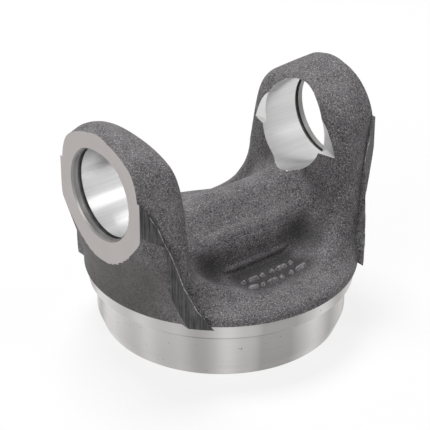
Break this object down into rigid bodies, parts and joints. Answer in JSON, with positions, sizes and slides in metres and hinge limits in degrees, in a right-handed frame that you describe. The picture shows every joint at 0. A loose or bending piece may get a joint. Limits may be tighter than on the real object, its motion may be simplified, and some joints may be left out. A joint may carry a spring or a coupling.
{
  "type": "forged yoke",
  "caption": "Forged weld-end yoke with two ears bored on one axis for bearing caps and a turned end that fits inside a drive tube.",
  "frame": {"origin": "centre of the flat tube-side face, on the tube axis", "axes": "+Z along the tube axis, from the tube-side face towards the ears; +X along the cross bore; Y across the saddle"},
  "size_m": [0.1124, 0.1051, 0.0966],
  "materials": {
    "weld_yoke": "shot-blasted forged skin, machined bores, faces and register"
  },
  "bodies": {
    "root": {"weld_yoke": "weld_yoke"}
  },
  "joints": []
}
